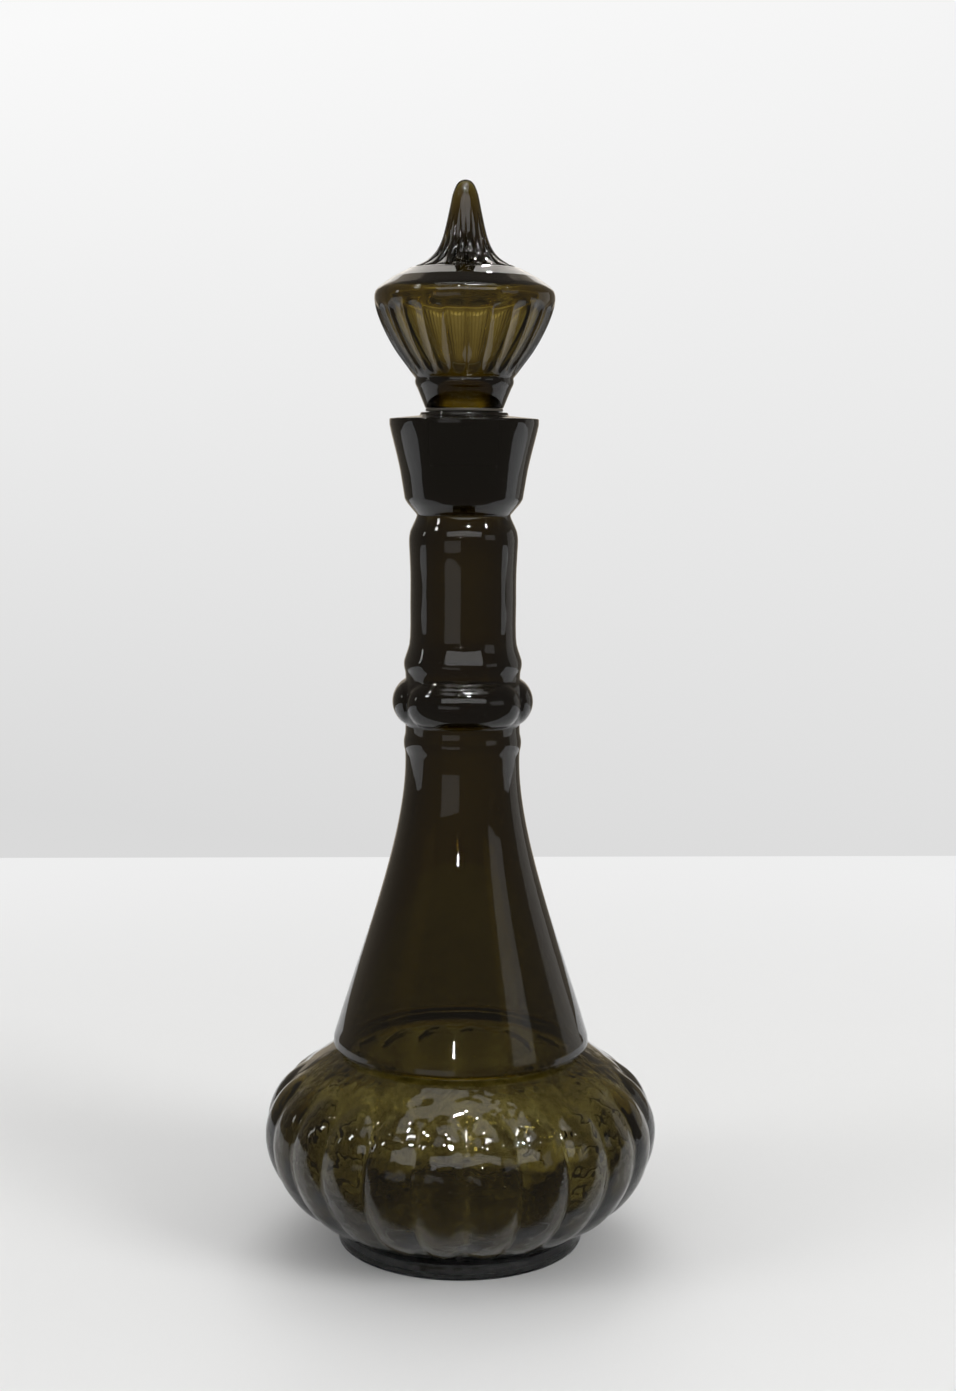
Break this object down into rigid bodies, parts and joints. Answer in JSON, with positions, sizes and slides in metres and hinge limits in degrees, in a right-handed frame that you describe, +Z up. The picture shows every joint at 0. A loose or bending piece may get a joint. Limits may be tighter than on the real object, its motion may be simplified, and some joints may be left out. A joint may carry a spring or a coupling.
{
  "type": "whisky decanter",
  "caption": "Tall dark olive glass decanter: lobed bulb, flared cone, beaded ring, collar, and a hollow spired glass stopper with a ribbed sealing sleeve.",
  "frame": {"origin": "on the table under the middle of the foot", "axes": "+Z up along the bottle's axis; -Y is the front, where a crease between two lobes and the middle of one of the three long beads lie"},
  "size_m": [0.132, 0.132, 0.355],
  "materials": {
    "smoky_glass": "fire-polished smooth, dark olive",
    "sleeve_plastic": "satin, smoky translucent polyethylene"
  },
  "bodies": {
    "bottle": {"bottle": "smoky_glass"},
    "sleeve": {"stopper_sleeve": "sleeve_plastic"},
    "stopper": {"stopper": "smoky_glass"}
  },
  "joints": [
    {"name": "stopper_lift", "type": "slide", "parent": "bottle", "child": "sleeve", "axis": [0, 0, 1], "range_m": [0, 0.045]},
    {"name": "stopper_twist", "type": "hinge", "parent": "sleeve", "child": "stopper", "pos_m": [0, 0, 0.27], "axis": [0, 0, 1], "continuous": true}
  ]
}
